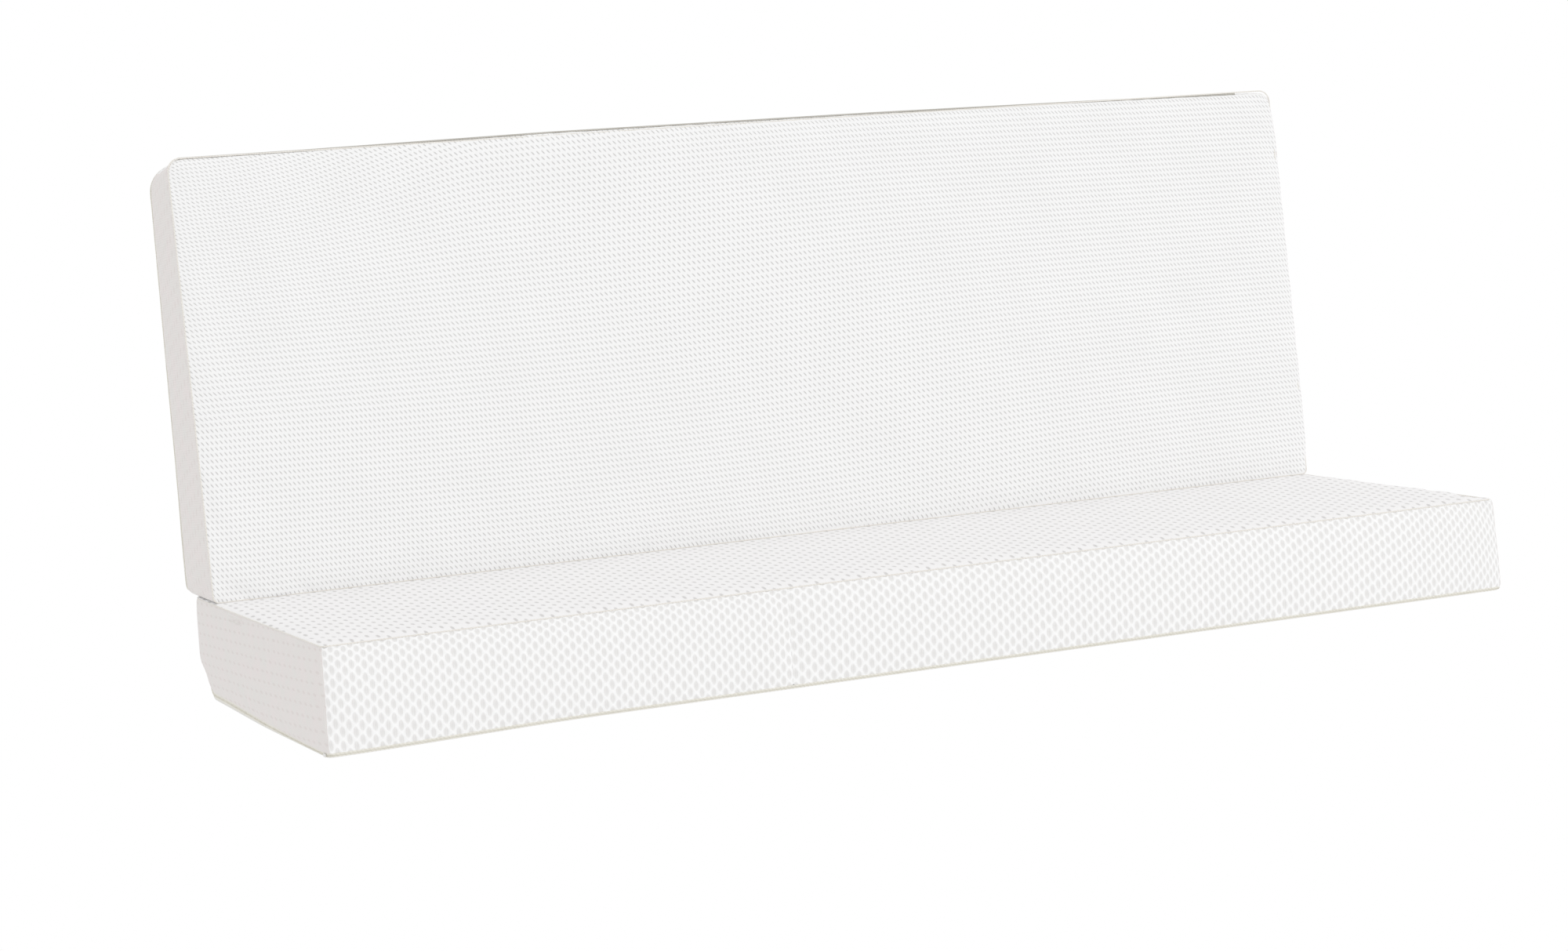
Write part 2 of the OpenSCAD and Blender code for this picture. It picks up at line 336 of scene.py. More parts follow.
# %% [markdown]
# ## Shaping the slabs
# Corners are rounded by carrying each square corner of the grid over to a quarter disc. The edges are drawn
# in a little where the seams run, the foot of the back is cut slanting so that it stands level, and the
# seat's lower rear edge is carried over to a quarter ellipse near both ends, where the cover has no stiff
# edge to hold it square. Small sags, bulges and a tapering end then take the slabs off their true boxes.
# %% Shape the slabs
def square_to_disc(p, q):
    """Carries points of a unit square over to a quarter disc, keeping each ring's distance."""
    m = np.maximum(p, q)
    t = np.where(q <= p, q / np.maximum(p, 1e-9) / 2, 1 - p / np.maximum(q, 1e-9) / 2)
    return m * np.cos(t * math.pi / 2), m * np.sin(t * math.pi / 2)

def round_corners(co, front_r, rear_r):
    """Carries the square corners, seen from above, over to quarter discs."""
    for sign in (-1, 1):
        for y_edge, inward, r in ((0, 1, front_r), (depth, -1, rear_r)):
            a = (co[:, 0] * sign - (end - r)) / r
            b = ((y_edge + inward * r - co[:, 1]) * inward) / r
            inside = (a > 1e-6) & (b > 1e-6)
            p, q = square_to_disc(a[inside], b[inside])
            co[inside, 0] = sign * (end - r + p * r)
            co[inside, 1] = y_edge + inward * (r - q * r)

def draw_in(co, box_co, by):
    """Moves the sides inwards by a depth that depends on the height."""
    d = np.interp(box_co[:, 2], by[0], by[1])
    for axis, low, high in ((0, -end, end), (1, 0, depth)):
        middle = (low + high) / 2
        co[:, axis] = middle + (co[:, axis] - middle) * (1 - d / ((high - low) / 2))

def round_under(co, a, b, reach):
    """Carries the square lower rear edge over to a quarter ellipse, a deep and b high, near both ends."""
    p, q = (co[:, 1] - (depth - a)) / a, (b - co[:, 2]) / b
    inside = (p > 1e-6) & (q > 1e-6)
    p, q = p[inside], q[inside]
    across, down = square_to_disc(p, q)
    near_end = ease(1.15 - (end - np.abs(co[inside, 0])) / reach)
    co[inside, 1] += near_end * (depth - a + across * a - co[inside, 1])
    co[inside, 2] += near_end * (b - down * b - co[inside, 2])
    co[inside, 0] -= np.sign(co[inside, 0]) * 10 * mm * near_end * ease(1.5 * p) * q ** 2

edge_profile = ([0, zip_low, (zip_low + zip_high) / 2, zip_high, zip_high + 0.01, thick - 0.004, thick],
    [0.0008, 0.0004, 0.0014, 0.0002, 0, 0, 0.0015])

def hang(co, height, from_front):
    """Lets the zip sink along the front, sags the left corner, and bulges the right end near the front."""
    unmoved = 0.06
    sunk = np.interp(height, [0, zip_low, zip_high, unmoved, 1],
        [0, zip_low - 2.6 * mm, zip_high - 6.5 * mm, unmoved, 1])
    co[:, 2] += (sunk - height) * (1 - 0.999 * ease((from_front - 0.05) / 0.45))
    low_down = np.clip(1 - height / thick, 0, 1)
    co[:, 2] -= 6 * mm * ease(1 - (co[:, 0] + end) / 0.4) * ease((0.6 - from_front) / 0.35) * low_down
    bulge = (0.25 + 0.75 * low_down) * (1 - 0.6 * np.clip(1 - height / 0.02, 0, 1) ** 2)
    co[:, 0] += 17 * mm * ease(1 - (end - co[:, 0]) / 0.14) * ease(1.2 - from_front / 0.4) * bulge

def taper(co, place):
    """Thins the back's left end towards its rear edge, and draws that edge in near the top."""
    behind = 1 - place[:, 2] / thick
    upwards = place[:, 1] / depth
    from_left = place[:, 0] + end
    co[:, 2] += (11 + 9 * upwards ** 4) * mm * ease(1 - from_left / 0.12) * ease(upwards * 2.6) * behind
    co[:, 0] += 4 * mm * ease(1 - from_left / 0.15) * ease(1.4 * upwards - 0.3) * behind

def shaped(piece, low_r, high_r):
    """Rounds the corners by two radii (front, rear) at the underside and two at the sleeping side."""
    box_co = points(piece)
    low, high = box_co.copy(), box_co.copy()
    round_corners(low, *low_r)
    round_corners(high, *high_r)
    share = (box_co[:, 2] / thick)[:, None]
    co = low * (1 - share) + high * share
    draw_in(co, box_co, edge_profile)
    seam = (np.abs(box_co[:, 2] - thick) < 1e-6) & (
        (np.abs(np.abs(box_co[:, 0]) - end) < 1e-6) | (box_co[:, 1] < 1e-6) | (box_co[:, 1] > depth - 1e-6))
    co[seam, 2] -= 1.5 * mm
    return co, seam, box_co

seat_r, back_low_r, back_high_r = (8 * mm, 68 * mm), (12 * mm, 40 * mm), (10 * mm, 20 * mm)
seat_co, seat_seam, seat_box = shaped(seat_cover, seat_r, seat_r)
hang(seat_co, seat_box[:, 2], seat_box[:, 1])
under_deep, under_high, under_reach = 0.12, 0.056, 0.11
round_under(seat_co, under_deep, under_high, under_reach)
back_co, back_seam, back_box = shaped(back_cover, back_low_r, back_high_r)
slant = (thick - back_co[:, 2]) * math.tan(lean)
near_foot = 1 - ease(back_co[:, 1] / 0.1)
back_co[:, 1] += slant * (1 - np.clip(back_co[:, 1] / 0.08, 0, 1))
back_co[:, 1] += 1 * mm * near_foot * (back_box[:, 2] < zip_high + 1e-6)
at_foot = (back_box[:, 1] < 1e-6) * ease((back_box[:, 2] - 0.011) / 0.012)
back_co[:, 1] -= at_foot * np.interp(back_box[:, 2], [thick - 0.004, thick], [0.7 * mm, 2.2 * mm])
taper(back_co, back_box)
from_side = np.minimum(back_box[:, 1], depth - back_box[:, 1])
above_zip = ease((back_box[:, 2] - 0.02) / 0.03)
back_co[:, 0] += 5 * mm * ease(1 - (end - back_box[:, 0]) / 0.1) * ease(from_side / 0.08) * above_zip
top_line = ((-0.95, -0.75, -0.35, 0.2, 0.6, 0.95), (-2, -1.5, 2.5, 1.5, -1.5, -5))
back_co[:, 1] += mm * np.interp(back_box[:, 0], *top_line) * ease(2 * back_box[:, 1] / depth - 1) * above_zip
seat_co[seat_seam, 2] += 1.2 * mm * ease((seat_box[seat_seam, 1] - depth + thick) / 0.02)
crest = (back_box[:, 0] - 0.2 + 1.15 * (back_box[:, 1] - 0.17)) / 0.08
back_co[:, 2] += 1.2 * mm * np.exp(-crest ** 2) * (back_box[:, 2] > thick - 1e-6) * (~back_seam)
put_points(seat_cover, seat_co)
put_points(back_cover, back_co)
print("seam points", int(seat_seam.sum()), int(back_seam.sum()))

# %% Keep the foam's shape
def keep_copy(cover):
    """A copy of the cover as it is cut, for the foam inside it."""
    only(cover)
    bpy.ops.object.duplicate()
    return bpy.context.object

seat_core, back_core = keep_copy(seat_cover), keep_copy(back_cover)

# %% [markdown]
# ## Blowing up the covers
# Foam fills its cover a little more than the cut of the cloth allows, so each panel crowns between its
# seams. Blender's cloth solver gives that shape: the seams are pinned, a pressure from inside pushes the
# panels out, and the cloth has one part in a hundred to spare, which makes the soft puckers along the seams.
# A cap then holds every point near its foam, and holds the cloth flat where the slabs rest.
# %% Cloth
def puff(piece, pinned, cap):
    """Simulates the cloth, applies it, and caps how far each point has moved."""
    rest = points(piece)
    group = piece.vertex_groups.new(name="pinned")
    group.add([int(i) for i in np.flatnonzero(pinned)], 1.0, "REPLACE")
    only(piece)
    cloth = piece.modifiers.new("cloth", "CLOTH")
    cloth.settings.vertex_group_mass = "pinned"
    cloth.settings.mass = 0.002
    cloth.settings.quality = 4
    cloth.settings.use_pressure = True
    cloth.settings.uniform_pressure_force = 4
    cloth.settings.tension_stiffness = 15
    cloth.settings.bending_stiffness = 0.5
    cloth.settings.shrink_min = -0.012
    cloth.settings.effector_weights.gravity = 0
    cloth.collision_settings.use_collision = False
    scene, last = bpy.context.scene, 16
    scene.frame_start, scene.frame_end = 1, last
    cloth.point_cache.frame_start, cloth.point_cache.frame_end = 1, last
    for step in range(1, last + 1):
        scene.frame_set(step)
    bpy.ops.object.modifier_apply(modifier=cloth.name)
    moved = points(piece) - rest
    far = np.linalg.norm(moved, axis=1)
    share = cap * np.tanh(far / np.maximum(cap, 1e-6)) / np.maximum(far, 1e-9)
    put_points(piece, rest + moved * share[:, None])
    scene.frame_set(1)
    print(piece.name, "moved up to", round(float(far.max()), 4), "kept", round(float((far * share).max()), 4))

def zip_band(box_co):
    return (box_co[:, 2] > zip_low - 1e-6) & (box_co[:, 2] < zip_high + 1e-6)

front = seat_box[:, 1] < 1e-6
upright = front & ((np.abs(np.abs(seat_box[:, 0]) - end) < 1e-6) | (np.abs(seat_box[:, 0] - join_x) < 1e-6))
seat_pins = seat_seam | zip_band(seat_box) | (seat_box[:, 2] < 1e-6) | upright
seat_cap = np.full(len(seat_box), 5 * mm)
on_top = seat_box[:, 2] > thick - 1e-6
under_back = ease((seat_box[:, 1] - (depth - thick - 0.09)) / 0.08)
seat_cap[on_top] = (3 * mm * (1 - under_back) + 0.3 * mm)[on_top]
seat_cap[seat_box[:, 1] > depth - 1e-6] = 0.3 * mm

back_pins = back_seam | zip_band(back_box) | (back_box[:, 1] < 1e-6)
back_cap = np.full(len(back_box), 5 * mm)
behind = back_box[:, 2] < 1e-6
back_cap[behind] = (4 * mm * ease((back_box[:, 1] - 0.05) / 0.1) + 0.1 * mm)[behind]
puff(seat_cover, seat_pins, seat_cap)
puff(back_cover, back_pins, back_cap)

# %% Smooth and part the covers
def part_cover(cover, seam_levels):
    """One subdivision with the seams held sharp, then one piece for each panel."""
    only(cover)
    crease = cover.data.attributes.new("crease_edge", "FLOAT", "EDGE")
    ends = np.empty(len(cover.data.edges) * 2, int)
    cover.data.edges.foreach_get("vertices", ends)
    sharp = seam_levels[ends.reshape(-1, 2)].all(axis=1)
    crease.data.foreach_set("value", sharp.astype(np.float32))
    modify(cover, "smooth", "SUBSURF", levels=1, render_levels=1)
    bpy.ops.object.mode_set(mode="EDIT")
    bpy.ops.mesh.select_all(action="SELECT")
    bpy.ops.mesh.separate(type="MATERIAL")
    bpy.ops.object.mode_set(mode="OBJECT")
    parted = {}
    for piece in list(bpy.context.selected_objects):
        name = piece.data.materials[piece.data.polygons[0].material_index].name
        piece.name = piece.data.name = name + "_cloth"
        piece.data.materials.clear()
        piece.vertex_groups.clear()
        parted[name] = piece
    return parted

panels = part_cover(seat_cover, seat_seam)
panels.update(part_cover(back_cover, back_seam))
for name, piece in sorted(panels.items()):
    print(name, len(piece.data.polygons), "faces")

# %% [markdown]
# The knit is not printed on a flat sheet: the borders stretch it round their edges, and it was cut a little
# off the straight on the slabs. The cloth places are bent to match. Along the front border the rows climb
# slowly and crowd together where it rolls over its top edge, and the columns crowd near its right end. The
# back's knit is stretched along a slanting crest, and the seat's is drawn aslant towards the right end.
# %% Bend the knit
def bend_knit(piece, change):
    """Rewrites the cloth places; change takes and gives arrays u, v."""
    layer = piece.data.uv_layers["cloth"]
    uv = np.empty(len(piece.data.loops) * 2)
    layer.data.foreach_get("uv", uv)
    uv = uv.reshape(-1, 2)
    layer.data.foreach_set("uv", np.stack(change(uv[:, 0], uv[:, 1]), 1).ravel())

row_slope = 0.129

def front_left(u, v):
    roll_over = np.maximum(v - (thick - 0.028), 0)
    return u, v + row_slope * u + 14 * roll_over ** 2

def front_right(u, v):
    roll_over = np.maximum(v - (thick - 0.022), 0)
    crowd = np.maximum(u - 0.77, 0)
    slope = row_slope * u + 0.09 * (u - join_x) ** 2
    return (u + 2.0 * crowd ** 2) * 18 / 20.0, (v + 12 * roll_over ** 2) * 18 / 18.7 + slope

def back_face(u, v):
    """Stretched along a slanting crest, crowded at the top left, and aslant at the lower left."""
    x = u + end
    crest = np.tanh((x - 1.15 + 1.15 * (v - 0.17)) / 0.35)
    aslant = np.maximum(0.26 - v, 0) * ease((0.8 - x) / 0.6)
    high = np.clip((v - 0.3) / 0.3, 0, 1)
    climb = 0.3 * (high ** 3 - high ** 4 / 2) + np.maximum(v - 0.6, 0)
    crowd = 0.4 * ease((0.5 - x) / 0.45) * climb
    return 1.05 * u - 0.07 * crest + 0.12 * v + 0.22 * aslant, 0.97 * v - 0.02 * crest + crowd

def seat_top(u, v):
    """Stretched and drawn aslant towards the right end."""
    x = u + end
    drawn = np.where(x < 1, x ** 3 - x ** 4 / 2, x - 0.5)
    return u - 0.034 * x ** 2 - 0.11 * x * v, 0.93 * v + 0.27 * drawn

bend_knit(panels["seat_front_border_left"], front_left)
bend_knit(panels["seat_front_border_right"], front_right)
bend_knit(panels["back_face_panel"], back_face)
bend_knit(panels["seat_top_panel"], seat_top)
print("knit bent on 4 panels")

# %% [markdown]
# ## Knit finishes
# All the cloth is white polyester knit. A knit like this has a lattice of small hollows where the stitches
# are drawn in, so one function finds, for any lattice of two step vectors in millimetres, how far a point is
# from the nearest hollow. Each cloth then shapes and shades its own hollow from that.
# %% Lattice of hollows
def hollows(tree, first, second):
    """Offsets in millimetres from the middle of the lattice cell, and both cell shares from -0.5 to 0.5."""
    cloth = add_node(tree, "ShaderNodeUVMap", uv_map="cloth").outputs["UV"]
    det = first[0] * second[1] - first[1] * second[0]
    shares = []
    for a, b in ((second[1], -second[0]), (-first[1], first[0])):
        step = add_node(tree, "ShaderNodeVectorMath", {0: cloth, 1: (1000 * a / det, 1000 * b / det, 0)},
            operation="DOT_PRODUCT")
        shares.append(calc(tree, "ADD", calc(tree, "FRACT", step.outputs["Value"]), -0.5))
    offsets = [calc(tree, "MULTIPLY_ADD", shares[1], second[i], calc(tree, "MULTIPLY", shares[0], first[i]))
        for i in (0, 1)]
    return offsets, shares

def spot(tree, offsets, at, radii, flat=0.0):
    """1 at a place in the cell, falling to 0 at an ellipse round it; flat is the share of it that stays 1."""
    total = 0.0
    for offset, place, radius in zip(offsets, at, radii):
        scaled = calc(tree, "MULTIPLY", calc(tree, "ADD", offset, -place), 1 / radius)
        total = calc(tree, "MULTIPLY_ADD", scaled, scaled, total)
    return add_node(tree, "ShaderNodeMapRange", {"Value": total, "From Min": 1.0, "From Max": flat,
        "To Min": 0.0, "To Max": 1.0}, interpolation_type="SMOOTHSTEP").outputs[0]

def slanted(tree, offsets, slope):
    """Offsets with the first one leaning along the second, for hollows that lie aslant."""
    return [calc(tree, "MULTIPLY_ADD", offsets[1], slope, offsets[0]), offsets[1]]

def threads(tree, across, spacing):
    """Fine ribs of thread, 0 to 1, across one direction of the cloth."""
    cloth = add_node(tree, "ShaderNodeUVMap", uv_map="cloth")
    turns = add_node(tree, "ShaderNodeVectorMath", {0: cloth.outputs["UV"],
        1: tuple(2000 * math.pi / spacing * c for c in (*across, 0))}, operation="DOT_PRODUCT")
    return calc(tree, "MULTIPLY_ADD", calc(tree, "SINE", turns.outputs["Value"]), 0.5, 0.5)

def noise(tree, vector, scale, detail, **more):
    """Soft noise, 0 to 1, on this vector."""
    return add_node(tree, "ShaderNodeTexNoise", {"Vector": vector, "Scale": scale, "Detail": detail,
        **more}).outputs["Fac"]

def blotches(tree, size, detail=3.0):
    """Soft uneven patches, 0 to 1, of a size in millimetres."""
    cloth = add_node(tree, "ShaderNodeUVMap", uv_map="cloth")
    return noise(tree, cloth.outputs["UV"], 1000 / size, detail, Roughness=0.6)

def tint(tree, amount, low, high):
    """A colour between two, by an amount from 0 to 1."""
    mix = add_node(tree, "ShaderNodeMix", {"Factor": amount, "A": low, "B": high}, data_type="RGBA")
    return mix.outputs["Result"]

def finish(tree, shader, colour, height, depth_mm, strength=1.0):
    """Links a colour, and a height from 0 to 1 whose full range is depth_mm."""
    bump = add_node(tree, "ShaderNodeBump", {"Height": height, "Distance": depth_mm * mm, "Strength": strength})
    tree.links.new(colour, shader.inputs["Base Color"])
    tree.links.new(bump.outputs["Normal"], shader.inputs["Normal"])

def combine(tree, *terms):
    """The sum of values, each times its own weight."""
    total = 0.0
    for value, weight in terms:
        total = calc(tree, "MULTIPLY_ADD", value, weight, total)
    return total
print("lattice ready")

# %% [markdown]
# The sleeping sides and the borders are the same jacquard knit, a double jersey whose face is drawn into
# small hollows. Cotton-like polyester of this kind scatters light softly and has a faint sheen of fibre ends,
# so it is rough, with a little sheen. On the borders it is hardly stretched, and the hollows stand 18 mm
# apart in rows set off by half. They are leaf shaped, and their colour is darkened as painted shade, most at
# their left side, with fine thread ribs across the dark.
# %% Border knit
def border_knit():
    material, tree, shader = new_material("jacquard_knit_border", Roughness=0.88, Sheen_Weight=0.12,
        Sheen_Roughness=0.5, Specular_IOR_Level=0.25)
    offsets, shares = hollows(tree, (9, 8.45), (-9, 8.45))
    walls = [calc(tree, "MULTIPLY_ADD", calc(tree, "MULTIPLY", share, share), -4.0, 1.0) for share in shares]
    bowl = calc(tree, "MULTIPLY", *walls)
    leaf = spot(tree, slanted(tree, offsets, 0.06), (-0.7, 0), (4.2, 8.0), 0.3)
    rib = threads(tree, (1, 0), 2.4)
    leaf_shade = calc(tree, "MULTIPLY", leaf, calc(tree, "MULTIPLY_ADD", rib, 0.45, 0.55))
    patch = blotches(tree, 2.2)
    # The colour is darkened in each hollow as painted shade: the bowl over the whole hollow, and the leaf at
    # its left side; the small patches are uneven tone.
    shade = combine(tree, (bowl, 0.26), (leaf_shade, 0.46), (patch, 0.14))
    colour = tint(tree, shade, linear("fdfdfd"), linear("dbd9d7"))
    height = combine(tree, (bowl, -0.6), (leaf, -0.6), (patch, 0.25))
    finish(tree, shader, colour, height, 0.8, 0.6)
    return material

# %% [markdown]
# On the back's face the knit is pulled tight, so the hollows close up to a grid of about 7 by 9 mm and
# become short slanting dashes. On the seat the cloth lies a little aslant, and its hollows run long from
# front to rear.
# %% Face knits
def face_knit(name, first, second, slope, radii, light, dark, weight):
    material, tree, shader = new_material(name, Roughness=0.88, Sheen_Weight=0.12,
        Sheen_Roughness=0.5, Specular_IOR_Level=0.25)
    offsets = hollows(tree, first, second)[0]
    dash = spot(tree, slanted(tree, offsets, slope), (0, 0), radii)
    patch = blotches(tree, 2.5)
    wide = blotches(tree, 90, 1.0)
    # The dashes are the hollows, and their darker colour is painted shade in them; the small and wide patches
    # are uneven tone.
    shade = combine(tree, (dash, weight), (patch, 0.16), (wide, 0.10))
    colour = tint(tree, shade, linear(light), linear(dark))
    height = combine(tree, (dash, -0.9), (patch, 0.25))
    finish(tree, shader, colour, height, 0.6, 0.5)
    return material

# %% [markdown]
# The ends are cut from a finer knit, a ribbed tricot in a slightly greyer white, with rows of short pinkish
# dashes where the ground thread shows. The undersides are a plain close knit.
# %% End knit and plain knit
def end_knit():
    material, tree, shader = new_material("ribbed_tricot_end", Roughness=0.9, Sheen_Weight=0.1,
        Sheen_Roughness=0.5, Specular_IOR_Level=0.2)
    offsets = hollows(tree, (23, -1.2), (18, -15.6))[0]
    dash = spot(tree, slanted(tree, offsets, -0.5), (0, 0), (7.5, 2.6))
    rib = threads(tree, (1, 0), 3.4)
    patch = blotches(tree, 2.0)
    wide = blotches(tree, 30, 2.0)
    shade = combine(tree, (dash, 0.3), (rib, 0.12), (patch, 0.3))
    ground = tint(tree, wide, linear("f2e9e9"), linear("e9ece8"))
    colour = tint(tree, shade, ground, linear("d8cecb"))
    height = combine(tree, (dash, -0.6), (rib, 0.4), (patch, 0.3))
    finish(tree, shader, colour, height, 0.5, 0.5)
    return material

def plain_knit():
    material, tree, shader = new_material("plain_tricot_underside", Roughness=0.92, Sheen_Weight=0.1,
        Specular_IOR_Level=0.2)
    offsets = hollows(tree, (6, 0), (3, 5.2))[0]
    pore = spot(tree, offsets, (0, 0), (1.6, 1.9))
    patch = blotches(tree, 3.0)
    colour = tint(tree, combine(tree, (pore, 0.5), (patch, 0.2)), linear("eeedea"), linear("cfccc8"))
    finish(tree, shader, colour, combine(tree, (pore, -0.7), (patch, 0.3)), 0.5, 0.5)
    return material

finishes = {
    "border_knit": border_knit(),
    "back_knit": face_knit("jacquard_knit_back_face", first=(7.2, 0), second=(-7.2, 8.6), slope=0.82,
        radii=(1.5, 3.7), light="fafafa", dark="d1d0cf", weight=0.95),
    "seat_knit": face_knit("jacquard_knit_seat_top", first=(12.5, -8.0), second=(1.25, 30.1), slope=-0.05,
        radii=(3.4, 9.5), light="fbfafa", dark="d4d2d1", weight=0.85),
    "end_knit": end_knit(),
    "underside_knit": plain_knit(),
}
print("knits", sorted(finishes))

# %% [markdown]
# ## The panels
# The front border carries the largest hollows, so there they are real shape: its mesh is subdivided once
# more and each point moves inwards by the depth of its hollow. Every panel then gets the 3 mm of padding
# that is quilted behind the knit, with a Solidify modifier that grows inwards.
# %% Finish the panels
def point_places(piece):
    """The cloth place u, v of each vertex."""
    corner = np.empty(len(piece.data.loops), int)
    piece.data.loops.foreach_get("vertex_index", corner)
    uv = np.empty(len(piece.data.loops) * 2)
    piece.data.uv_layers["cloth"].data.foreach_get("uv", uv)
    place = np.zeros((len(piece.data.vertices), 2))
    place[corner] = uv.reshape(-1, 2)
    return place

def emboss(piece, step_x, step_y, deep):
    """Presses the staggered hollows into the mesh."""
    modify(piece, "fine", "SUBSURF", levels=1, render_levels=1)
    place = point_places(piece) * 1000
    x, y = place[:, 0] / step_x, place[:, 1] / step_y
    shares = [np.mod((y + x) / 2, 1) - 0.5, np.mod((y - x) / 2, 1) - 0.5]
    bowl = (1 - 4 * shares[0] ** 2) * (1 - 4 * shares[1] ** 2)
    normal = np.empty(len(piece.data.vertices) * 3)
    piece.data.vertices.foreach_get("normal", normal)
    put_points(piece, points(piece) - normal.reshape(-1, 3) * (bowl * deep)[:, None])

kinds = {"seat_top_panel": ("seat_knit", "knit_face"), "back_face_panel": ("back_knit", "knit_face"),
    "seat_underside_panel": ("underside_knit", "underside_knit"),
    "back_rear_panel": ("underside_knit", "underside_knit")}
for ending in ("seat_left", "seat_right", "back_left", "back_right"):
    kinds[ending + "_border"] = ("end_knit", "end_knit")

for name, piece in sorted(panels.items()):
    knit, slot = kinds.get(name, ("border_knit", "border_knit"))
    if name.startswith("seat_front_border"):
        emboss(piece, 9, 8.45, 0.9 * mm)
    if name.endswith("zip_tapes"):
        continue
    modify(piece, "padding", "SOLIDIFY", thickness=3 * mm, offset=-1)
    bpy.ops.object.shade_smooth_by_angle(angle=math.radians(50))
    piece.data.materials.append(finishes[knit])
    seat_in_place(piece, seat_place if name.startswith("seat") else back_place)
    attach(piece, "seat" if name.startswith("seat") else "back")
    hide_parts(name)
print("panels finished", len(panels) - 2)

# %% [markdown]
# ## Foam
# Inside each cover lie two layers: a support layer of open-cell polyurethane foam, and a slower memory foam
# on the sleeping side. Both are cut from the same shape as the cover, 4.5 mm smaller all round, and parted at
# the level where they are glued together. Foam scatters light deep inside, so its material has a little
# subsurface light, and its surface is pricked by the open cells.
# %% Foam finishes
def foam(name, colour, pore, cell, glow):
    material, tree, shader = new_material(name, Roughness=0.95, Specular_IOR_Level=0.15,
        Subsurface_Weight=glow, Subsurface_Scale=0.004)
    place = add_node(tree, "ShaderNodeTexCoord")
    cells = add_node(tree, "ShaderNodeTexVoronoi", {"Vector": place.outputs["Object"], "Scale": 1000 / cell})
    soft = noise(tree, place.outputs["Object"], 12.0, 3.0)
    shade = combine(tree, (cells.outputs["Distance"], 0.5), (soft, 0.3))
    finish(tree, shader, tint(tree, shade, linear(pore), linear(colour)), cells.outputs["Distance"], 0.4, 0.6)
    return material

support_finish = foam("open_cell_support_foam", "f6efd2", "e2d6b0", 1.6, 0.15)
memory_finish = foam("slow_memory_foam", "f1f3f6", "dcdfe4", 0.9, 0.2)

# %% Cut the foam
def cut_foam(cover, node, low, high, place, body, material):
    """A copy of the cover's shape, drawn in, and cut off flat below low and above high."""
    only(cover)
    bpy.ops.object.duplicate()
    block = bpy.context.object
    block.name = block.data.name = node + "_block"
    block.data.materials.clear()
    co = points(block)
    for axis, (a, b) in enumerate(((-end, end), (0, depth), (0, thick))):
        middle = (a + b) / 2
        co[:, axis] = middle + (co[:, axis] - middle) * (1 - 4.5 * mm / ((b - a) / 2))
    put_points(block, co)
    bpy.ops.object.mode_set(mode="EDIT")
    for level, lower in ((low, True), (high, False)):
        bpy.ops.mesh.select_all(action="SELECT")
        bpy.ops.mesh.bisect(plane_co=(0, 0, level), plane_no=(0, 0, 1), use_fill=True,
            clear_inner=lower, clear_outer=not lower)
    bpy.ops.object.mode_set(mode="OBJECT")
    bpy.ops.object.shade_smooth_by_angle(angle=math.radians(40))
    block.data.materials.append(material)
    seat_in_place(block, place)
    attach(block, body)
    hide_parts(node)

glue_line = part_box("seat_support_foam")[1].z
for cover, body, place in ((seat_core, "seat", seat_place), (back_core, "back", back_place)):
    cut_foam(cover, body + "_support_foam", 4.6 * mm, glue_line, place, body, support_finish)
    cut_foam(cover, body + "_memory_foam", glue_line + 0.1 * mm, thick - 4.6 * mm, place, body, memory_finish)
bpy.data.objects.remove(seat_core)
bpy.data.objects.remove(back_core)
print("foam cut at", round(glue_line, 4))

# %% [markdown]
# ## Thread, tape and metal
# The seams are sewn with spun polyester thread, which is matt and a little darker than the knit because it
# shades itself. The zip has a nylon coil on a ribbed polyester tape, both in a greyish beige, and its slider
# and pull are die-cast zinc, plated and lightly brushed.
# %% Small finishes
def thread_finish(name, light, dark, lay):
    """Spun thread: fine slanting plies whose spacing lay is in millimetres."""
    material, tree, shader = new_material(name, Roughness=0.85, Specular_IOR_Level=0.25, Sheen_Weight=0.1)
    place = add_node(tree, "ShaderNodeTexCoord")
    plies = add_node(tree, "ShaderNodeTexWave", {"Vector": place.outputs["Object"], "Scale": 1000 / lay / 6.3,
        "Distortion": 1.5, "Detail": 2.0, "Detail Scale": 2.0}, wave_type="BANDS", bands_direction="DIAGONAL")
    soft = noise(tree, place.outputs["Object"], 25.0, 4.0)
    shade = combine(tree, (plies.outputs["Fac"], 0.5), (soft, 0.5))
    finish(tree, shader, tint(tree, shade, linear(dark), linear(light)), plies.outputs["Fac"], 0.15, 0.5)
    return material

def metal_finish():
    material, tree, shader = new_material("plated_zinc_die_cast", Metallic=1.0)
    place = add_node(tree, "ShaderNodeTexCoord")
    long_marks = add_node(tree, "ShaderNodeMapping",
        {"Vector": place.outputs["Object"], "Scale": (200, 200, 2600)})
    brush = noise(tree, long_marks.outputs["Vector"], 1.0, 3.0)
    rough = add_node(tree, "ShaderNodeMapRange", {"Value": brush, "To Min": 0.28, "To Max": 0.48})
    tree.links.new(rough.outputs[0], shader.inputs["Roughness"])
    finish(tree, shader, tint(tree, brush, linear("b9b8b4"), linear("d8d7d3")), brush, 0.05, 0.3)
    return material

seam_finish = thread_finish("spun_polyester_seam_thread", "f2efea", "e0dcd4", 1.2)
# The dark beige of the top edge bead is painted shade along the back's top edge.
top_edge_shade_finish = thread_finish("beige_overlock_thread", "cbc8c1", "b0ada5", 1.2)
tape_finish = thread_finish("ribbed_zip_tape", "f2f0e9", "e0ddd3", 1.5)
coil_finish = thread_finish("nylon_zip_coil", "efece4", "d9d6ca", 0.9)
stitch_finish = thread_finish("white_tacking_thread", "f6f5f3", "dedcd8", 0.8)
strip_finish = thread_finish("twill_hinge_strip", "efeeea", "dddad4", 1.8)
metal = metal_finish()
print("small finishes ready")

